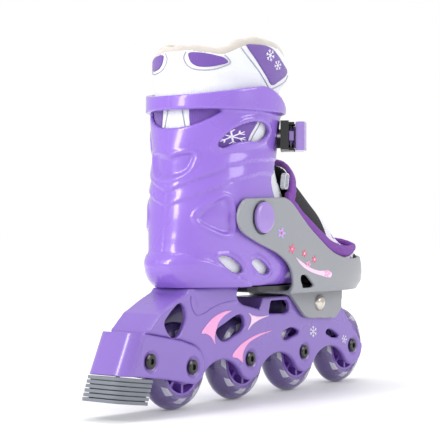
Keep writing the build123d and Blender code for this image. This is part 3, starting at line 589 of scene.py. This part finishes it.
def shell_relief(points, outward):
    """Outward push in millimetres for the moulded detail on the cuff and heel."""
    x, y, z = points.T
    flank = np.abs(y) > 14
    side = np.stack([x, np.abs(y), z], 1)
    push = np.zeros(len(points))
    recess = outline_distance(x, z, rounded([(-7.5, 138.5), (23.1, 160.5), (29, 123.5)]))
    push += np.where(flank, -1.7 * step(-recess, 0, 1.9) + 1.1 * step(-np.abs(recess - 1.7), -2.0, -0.3), 0)
    window = outline_distance(x, z, [(12.4, 191.7), (15, 198.3), (23, 205.7), (32.8, 210.4), (45.7, 212.4),
                                     (57, 210.4), (62.4, 204.7), (58.4, 199.2), (48.4, 196), (24.4, 192),
                                     (15.7, 189.9)])
    push += np.where(flank, 1.0 * step(-window, -4.0, -2.4), 0)
    for corners in ([(50, 108.5), (56, 110.5), (65, 106.4), (73, 99), (68, 96.8), (56, 100.2)],
                    [(15, 112), (24, 112.8), (33.4, 108.6), (41, 100.2), (33, 98), (20.6, 104.8)]):
        vent = outline_distance(x, z, corners)
        push += np.where(flank, 0.8 * step(-vent, -3.2, -1.6), 0)
    hollow = rounded([(-8, 182), (9.5, 187), (21, 187), (17, 175), (9.9, 169.5), (-8, 167.5)])
    scoop = outline_distance(np.abs(y), z, hollow)
    behind = x < 14
    push += np.where(behind, -2.0 * step(-scoop, 0, 2.6) + 0.8 * step(-np.abs(scoop - 1.4), -1.8, -0.2), 0)
    bumper, above = line_distance(side, [(-16, 0, 114.5), (-9, 20, 113.5), (17, 30.8, 106.3),
                                         (39.1, 33.3, 96.8), (56, 35.5, 89)])
    below = np.where(above < 0, 1.1 * step(-bumper, -22, -1) * step(bumper, 0, 1.6), 0)
    push += below - 0.5 * step(-bumper, -1.6, 0)
    upper_rib = [(-6.2, 0, 158.7), (3.8, 22.2, 168.7), (19.4, 33.1, 177.5), (45, 37, 182.5),
                 (82, 37.4, 184.5)]
    lower_rib = [(-7.6, 0, 148), (2, 22, 157), (24, 35.4, 167), (52, 38, 172.5), (80, 37, 173.5)]
    for line, high in ((upper_rib, 1.5), (lower_rib, 1.2)):
        far, above = line_distance(side, line)
        push += np.where(above > 0, high * step(-far, -11, -0.5), 0) * step(far, -0.5, 1.2)
        push -= 0.35 * step(-far, -1.3, 0)
    push -= np.where(x < 5, 0.3 * step(-np.abs(y), -0.7, -0.2), 0)
    return push * outward


def outer_share(points):
    """1 on the outer face of the boot, 0 on its inner face."""
    straight, _ = smooth_rows(points[:, 2], BOOT)
    x, y = points[:, 0], points[:, 1]
    reach = np.where(x < straight[:, 1], straight[:, 1] - straight[:, 0], straight[:, 2] - straight[:, 1])
    radius = np.hypot((x - straight[:, 1]) / reach, y / straight[:, 3])
    return step((radius - 1) * 40, -2.4, -0.6)


def shape_shell(obj):
    """Smooths the boot's form and adds the moulded detail to its outer face."""
    points = to_mm(coordinates(obj.data))
    out = normals(obj.data)
    plan = out.copy()
    plan[:, 2] *= 0.3
    plan /= np.maximum(np.linalg.norm(plan, axis=1), 1e-6)[:, None]
    facing = np.sum(plan[:, :2] * (points[:, :2] - np.array([45, 0])), axis=1) > 0
    push = shell_relief(points, outer_share(points) * facing)
    set_coordinates(obj.data, to_m(even_form(points + plan * push[:, None])))
    relaxed(obj.data, 2)


shell = remade("cuff_shell", "rear_shell", 0.95, 7, SHELL, "skate")
shape_shell(shell)
rails = remade("frame_rails", "frame", 0.9, 4, FRAME_PURPLE, "skate")
tail = remade("brake_arm", "brake_housing", 0.8, 4, FRAME_PURPLE, "skate")
toe = remade("toe_tray", "toe_shell", 0.9, 5, GREY, "toe")
places = to_mm(coordinates(rails.data))
relaxed(rails.data, 45, (places[:, 0] < 12) & (places[:, 2] > 58) & (places[:, 2] < 86))


def round_corners(obj, radius, half):
    """Rounds the upright rear corners of the brake arm, whose back leans forward as it rises."""
    points = to_mm(coordinates(obj.data))
    back = np.interp(points[:, 2], [31.4, 60.4], [-76, -62])
    x, y = points[:, 0] - back - radius, np.abs(points[:, 1]) - half + radius
    far = np.hypot(x, y)
    corner = (x < 0) & (y > 0) & (far > radius)
    points[corner, 0] = (back + radius + x * radius / far)[corner]
    points[corner, 1] = (np.sign(points[:, 1]) * (half - radius + y * radius / far))[corner]
    set_coordinates(obj.data, to_m(points))
    relaxed(obj.data, 4)


round_corners(tail, 11.0, 19.0)


def keep_clear(obj, start, end, radius, y_from, y_to):
    """Moves what lies within radius of a line across the skate, in millimetres, out to that radius."""
    points = to_mm(coordinates(obj.data))
    along = np.array(end, float) - start
    flat = points[:, [0, 2]]
    share = np.clip((flat - start) @ along / max(along @ along, 1e-9), 0, 1)
    away = flat - start - share[:, None] * along
    far = np.linalg.norm(away, axis=1)
    near = (far < radius) & (far > radius - 1.4) & (points[:, 1] > y_from) & (points[:, 1] < y_to)
    flat[near] += (away * (radius / np.maximum(far, 1e-6) - 1)[:, None])[near]
    points[:, 0], points[:, 2] = flat.T
    set_coordinates(obj.data, to_m(points))


def sink(obj, centre, radius, y_from, y_to, level):
    """Flattens the floor of a round pocket to the given distance from the middle plane."""
    points = to_mm(coordinates(obj.data))
    inside = np.linalg.norm(points[:, [0, 2]] - centre, axis=1) < radius
    inside &= (points[:, 1] > y_from) & (points[:, 1] < y_to)
    points[inside, 1] = np.sign(y_from + y_to) * np.minimum(np.abs(points[inside, 1]), level)
    set_coordinates(obj.data, to_m(points))


keep_clear(shell, BUTTON, BUTTON + [25, 0], 3.1, -60, 0)
keep_clear(toe, BUTTON, BUTTON, 12.6, -60, -40.2)
sink(toe, BUTTON, 12.3, -60, -39.6, 39.9)
remade("toe_saddle", "toe_bracket", 0.8, 4, GREY, "toe")


# ---------------------------------------------------------------- soft parts

def plump(obj, amount, scale, seed):
    """Uneven padding and creases pushed out along the surface."""
    points, out = to_mm(coordinates(obj.data)), normals(obj.data)
    phase = seed * 1.7
    wave = (np.sin(points[:, 0] / scale + phase + 1.3 * np.sin(points[:, 2] / (scale * 1.7)))
            * np.sin(points[:, 2] / (scale * 1.3) - phase + 0.9 * np.sin(points[:, 1] / scale)))
    across = points[:, 0] / (scale * 2.3) + points[:, 2] / (scale * 3.1) + points[:, 1] / (scale * 2)
    crease = np.abs(np.sin(across + phase))
    push = amount * (0.6 * wave - 0.9 * step(-crease, -0.16, 0))
    set_coordinates(obj.data, to_m(points + out * push[:, None]))


def soft(name, source, voxel, passes, made, body, amount, scale, seed, boot=True):
    """Padded stand-in for a CAD node; boot carries it to the boot's smooth form."""
    obj = remade(name, source, voxel, passes, made, body)
    if boot:
        set_coordinates(obj.data, to_m(even_form(to_mm(coordinates(obj.data)))))
    plump(obj, amount, scale, seed)
    relaxed(obj.data, 1)
    return obj


sock = soft("liner_body", "liner", 1.1, 6, WHITE, "skate", 0.30, 9.0, 1)
soft("liner_lining", "lining", 1.1, 3, BEIGE, "skate", 0.25, 7.0, 2)
shin = soft("tongue_pad", "tongue", 1.2, 8, WHITE, "skate", 0.35, 10.0, 3)
soft("toe_box_sock", "toe_sock", 1.0, 4, SOCK, "toe", 0.2, 8.0, 4, False)
upper = soft("instep_cover", "toe_cover", 0.9, 5, SOCK, "toe", 0.3, 8.0, 5, False)
binding = soft("instep_binding", "toe_trim", 0.8, 6, BINDING, "toe", 0.25, 5.0, 6, False)
swollen = coordinates(binding.data) + normals(binding.data) * 1.1 * MM
swollen += np.array([0.8, 0, 2.2]) * MM
swollen[:, 1] = np.clip(swollen[:, 1], -38.9 * MM, 38.9 * MM)
set_coordinates(binding.data, swollen)
loop = soft("heel_loop", "pull_loop", 0.35, 3, WHITE, "toe", 0.05, 3.0, 7, False)
upright = to_mm(coordinates(loop.data))
middle = upright.mean(0)
across, rise = upright[:, 0] - middle[0], upright[:, 2] - middle[2]
upright[:, 0], upright[:, 2] = middle[0] + rise - 1.2, middle[2] + across + 1.5
upright[:, 1] = middle[1] + (upright[:, 1] - middle[1]) * 0.7
set_coordinates(loop.data, to_m(upright))
loop.data.flip_normals()


# ---------------------------------------------------------------- liner patches, piping and rolled edge

collar = surface_tree(sock, shin)


def snowflake(name, u, v, width, height, tree, made, body, lean=0.0, lift=0.06):
    """Six-armed flake with side twigs, its middle at pixel (u, v) of the view from EYE."""
    for k in range(6):
        t = math.radians(60 * k + lean)
        c, s = math.cos(t), math.sin(t)
        arm = [(-0.07, 0.0), (-0.06, 0.55), (-0.3, 0.78), (-0.24, 0.86), (-0.05, 0.7), (-0.04, 1.0),
               (0.04, 1.0), (0.05, 0.7), (0.24, 0.86), (0.3, 0.78), (0.06, 0.55), (0.07, 0.0)]
        placed = [(u + width * (a * c - b * s), v - height * (a * s + b * c)) for a, b in arm]
        patch(f"{name}_{k + 1}", placed, tree, made, body, 0.22, smooth=False, grid=5.0, lift=lift)


patch("ankle_patch", [(188.4, 55), (190, 52.6), (196, 52.2), (206, 53.2), (217, 55.6), (223.6, 57.6),
                      (227.8, 62.4), (218, 65.4), (207, 66.8), (197, 66), (191, 62)],
      collar, PATCH, "skate", 0.5)
seam("ankle_seam", [(186, 51.5), (183.8, 57), (185.6, 63), (191, 68), (201, 70), (213, 69.3), (224, 66.3),
                    (230.3, 63), (228.4, 58.6), (224.5, 54.8)], collar, STITCH, "skate")
wing = [(246, 45), (250, 44.4), (262, 45.4), (270.5, 48), (276.5, 54), (282, 62.4), (286.6, 71),
        (284.6, 76.4), (278, 81.6), (271.6, 84.8), (266, 76), (256.6, 61)]
patch("wing_patch", wing, collar, PATCH, "skate", 0.5)
seam("wing_seam", [(241, 47.4), (248, 57), (258, 70), (265, 81), (270, 88.6), (278, 86), (284.6, 81.4),
                   (287.4, 76)], collar, STITCH, "skate")
snowflake("wing_flake_a", 269.6, 55.4, 4.4, 6.4, collar, WHITE_PRINT, "skate", 12, 0.55)
snowflake("wing_flake_b", 277, 65.4, 3.6, 5.2, collar, WHITE_PRINT, "skate", 40, 0.55)
heel = surface_tree(sock)
patch("heel_patch", [(190.4, 101), (228, 99), (226, 110), (210, 122), (192.4, 132), (189.8, 122),
                     (189.4, 110)], heel, PATCH, "skate", 0.5)
seam("heel_seam", [(182.2, 103), (182.6, 112), (184, 121), (186, 132)], heel, STITCH, "skate")
patch("side_patch", [(206, 154), (210, 138), (226, 126), (244, 118), (259, 116), (256, 124), (250, 134.6),
                     (243.6, 147), (232, 152)], heel, PATCH, "skate", 0.5)
seam("side_seam", [(262.4, 117), (258.6, 126), (252.8, 136), (248.6, 146)],
     heel, STITCH, "skate")
snowflake("side_flake", 231.5, 136.6, 15.5, 8.6, heel, WHITE_PRINT, "skate", 66, 0.55)


def collar_height(x):
    """Height of the liner's top edge at each distance forward."""
    forward = [-30, 2, 12, 18, 24, 31, 42, 60, 77, 90, 100, 112]
    heights = [266, 263, 259.6, 258.8, 261.2, 265.6, 268.6, 269.6, 268.5, 264, 255, 242]
    return np.interp(x, forward, heights)


def collar_roll():
    """Rolled edge of the lining round the opening, open at the tongue."""
    path = []
    for t in np.linspace(-2.62, 2.62, 140):
        x, y, z = 20.0, 0.0, 262.0
        for _ in range(4):
            row = smooth_rows(np.array([z]), BOOT)[1][0]
            reach = (row[1] - row[0] if math.cos(t) > 0 else row[2] - row[1]) - 7.2
            x = row[1] - reach * math.copysign(abs(math.cos(t)) ** 0.9, math.cos(t))
            y = (row[3] - 7.2) * math.copysign(abs(math.sin(t)) ** 0.9, math.sin(t))
            z = float(collar_height(np.array(x)))
        path.append((x, y, z + 0.4))
    return to_m(np.array(path))


def soft_roll(name, path, radius, made):
    """Closed tube of fabric with small gathers, thicker at places and tapered at its ends."""
    steps, around = len(path), 20
    points = []
    for i, centre in enumerate(path):
        along = path[min(i + 1, steps - 1)] - path[max(i - 1, 0)]
        along /= np.linalg.norm(along)
        side = np.cross(along, [0, 0, 1.0])
        side /= np.linalg.norm(side)
        top = np.cross(side, along)
        share = i / (steps - 1)
        size = radius * MM * (1 + 0.08 * math.sin(34 * share) + 0.05 * math.sin(91 * share + 1))
        size *= max(0.05, min(1.0, 9 * share, 9 * (1 - share))) ** 0.5
        for k in range(around):
            a = 2 * math.pi * k / around
            gather = 1 + 0.05 * math.sin(3 * a + 120 * share)
            points.append(centre + size * gather * (side * math.cos(a) * 0.82 + top * math.sin(a) * 1.12))
    faces = []
    for i in range(steps - 1):
        this, following = i * around, (i + 1) * around
        for k in range(around):
            beside = (k + 1) % around
            faces.append((this + k, this + beside, following + beside, following + k))
    faces += [tuple(range(around - 1, -1, -1)), tuple((steps - 1) * around + k for k in range(around))]
    mesh = bpy.data.meshes.new(name)
    mesh.from_pydata([tuple(p) for p in points], [], faces)
    return add_object(name, mesh, made, "skate")


soft_roll("collar_roll", collar_roll(), 4.3, BEIGE)


# ---------------------------------------------------------------- printed marks

rail_tree = surface_tree(rails)
patch("rail_swoosh", [(201.4, 333.2), (206.5, 325), (214, 317), (223, 312), (231.4, 310.8), (224.6, 315.4),
                      (218.6, 322.6), (216.2, 330), (214.6, 337), (215, 344), (211.2, 337.4), (206, 333.8)],
      rail_tree, PINK, "skate", 0.12)
patch("rail_star", [(248.6, 312.8), (253, 315.4), (260, 316.4), (268.4, 315.6), (260, 319.4), (253, 324.2),
                    (247.8, 330), (250.6, 322.6), (251, 317.4)],
      rail_tree, PALE_PINK, "skate", 0.12)
patch("wheel_swoosh", [(232.2, 356), (239.4, 346), (249, 338.6), (260, 333.4), (271.6, 330.6), (260, 335.8),
                       (250.6, 341.4), (245.2, 348), (243, 355), (242.8, 362.4), (238, 358.6)],
      rail_tree, PINK, "skate", 0.12)
snowflake("rail_flake_a", 313, 331.4, 3.8, 6.0, rail_tree, WHITE_PRINT, "skate")
snowflake("rail_flake_b", 344, 339, 2.8, 4.6, rail_tree, WHITE_PRINT, "skate", 20)
seam("rail_line", [(191, 296), (191.4, 305), (194.6, 313), (199, 315.4), (206, 312.6), (216, 306), (228, 302),
                   (236, 301)], rail_tree, FRAME_PURPLE, "skate", 0.35)

toe_tree = surface_tree(toe)


def flower(name, u, v, width, height, made, heart):
    """Five-petalled print with a heart, its middle at pixel (u, v) of the view from EYE."""
    petals = []
    for k in range(30):
        t = 2 * math.pi * k / 30
        size = 0.72 + 0.28 * math.cos(5 * t)
        petals.append((u + width * size * math.cos(t), v + height * size * math.sin(t)))
    patch(name, petals, toe_tree, made, "toe", 0.12)
    middle = [(u + 0.26 * width * math.cos(0.9 * k), v + 0.26 * height * math.sin(0.9 * k)) for k in range(7)]
    patch(name + "_heart", middle, toe_tree, heart, "toe", 0.2)


patch("arm_ribbon", [(296, 257.6), (302, 262), (309, 267), (318, 270.4), (327, 270.6), (331.6, 273),
                     (330, 277.4), (322, 275.8), (311, 272), (302, 266)],
      toe_tree, PALE_PINK, "toe", 0.1)
flower("arm_flower_a", 281.4, 233, 4.4, 6.2, LILAC_PRINT, RED_PRINT)
flower("arm_flower_b", 292, 249, 3.6, 5.2, RED_PRINT, PINK)
flower("arm_flower_c", 304.4, 253.4, 2.9, 4.2, RED_PRINT, PALE_PINK)
flower("arm_flower_d", 314.4, 259.4, 2.9, 4.0, RED_PRINT, PALE_PINK)
flower("arm_flower_e", 308.2, 264.2, 2.7, 3.6, PINK, RED_PRINT)
flower("arm_flower_f", 327, 273.4, 3.4, 4.2, PINK, PALE_PINK)


def two_fabrics(obj, second, beyond):
    """The part of obj ahead of the given distance is of the second material."""
    obj.data.materials.append(second)
    for face in obj.data.polygons:
        if to_mm(face.center)[0] > beyond:
            face.material_index = 1


two_fabrics(upper, PRINT, 158)


# ---------------------------------------------------------------- stage, light, camera

floor = bpy.data.objects.new("floor", bpy.data.meshes.new("floor"))
floor.data.from_pydata([(-6, -6, 0), (6, -6, 0), (6, 6, 0), (-6, 6, 0)], [], [(0, 1, 2, 3)])
bpy.context.scene.collection.objects.link(floor)
white = surface("floor_white", (0.86, 0.86, 0.87), 0.55, grain=60, bump=0.02, tone=0.01)
distance = node(white.node_tree, "ShaderNodeVectorMath", operation="LENGTH")
link(white.node_tree, node(white.node_tree, "ShaderNodeTexCoord").outputs["Object"], distance.inputs[0])
# Painted light: the floor glows, faintly near the skate and more with distance from it, so that its far part
# shows white.
glow = spread(white.node_tree, distance.outputs["Value"], 0.06, 0.38, 0.25, 1.2)
white.node_tree.nodes["Principled BSDF"].inputs["Emission Color"].default_value = (1, 1, 1, 1)
link(white.node_tree, glow, white.node_tree.nodes["Principled BSDF"].inputs["Emission Strength"])
floor.data.materials.append(white)

bpy.context.scene.view_settings.view_transform = "Standard"
world = bpy.data.worlds.new("studio")
bpy.context.scene.world = world
world.use_nodes = True
sky = world.node_tree
seen = node(sky, "ShaderNodeLightPath").outputs["Is Camera Ray"]
sky.nodes["Background"].inputs["Color"].default_value = (1.0, 1.0, 1.0, 1)
link(sky, spread(sky, seen, 0.78, 1.0, 0.0, 1.0), sky.nodes["Background"].inputs["Strength"])


def lamp(name, place, target, size, power):
    light = bpy.data.lights.new(name, "AREA")
    light.shape, light.size, light.size_y, light.energy = "RECTANGLE", size[0], size[1], power
    obj = bpy.data.objects.new(name, light)
    bpy.context.scene.collection.objects.link(obj)
    obj.location = place
    obj.rotation_euler = (Vector(target) - Vector(place)).to_track_quat("-Z", "Y").to_euler()


lamp("key", (-1.3, 0.35, 0.9), (0, 0, 0.14), (0.35, 1.1), 15)
lamp("fill", (0.5, -1.5, 0.8), (0, 0, 0.12), (0.8, 0.8), 10)
lamp("top", (0.1, 0.1, 1.5), (0, 0, 0.1), (1.0, 0.8), 8)

camera = bpy.data.objects.new("camera", bpy.data.cameras.new("camera"))
bpy.context.scene.collection.objects.link(camera)
camera.location = EYE
camera.rotation_euler = LOOK.to_track_quat("-Z", "Y").to_euler()
camera.data.lens, camera.data.sensor_width = LENS, SENSOR
camera.data.clip_start, camera.data.clip_end = 0.01, 50
bpy.context.scene.camera = camera
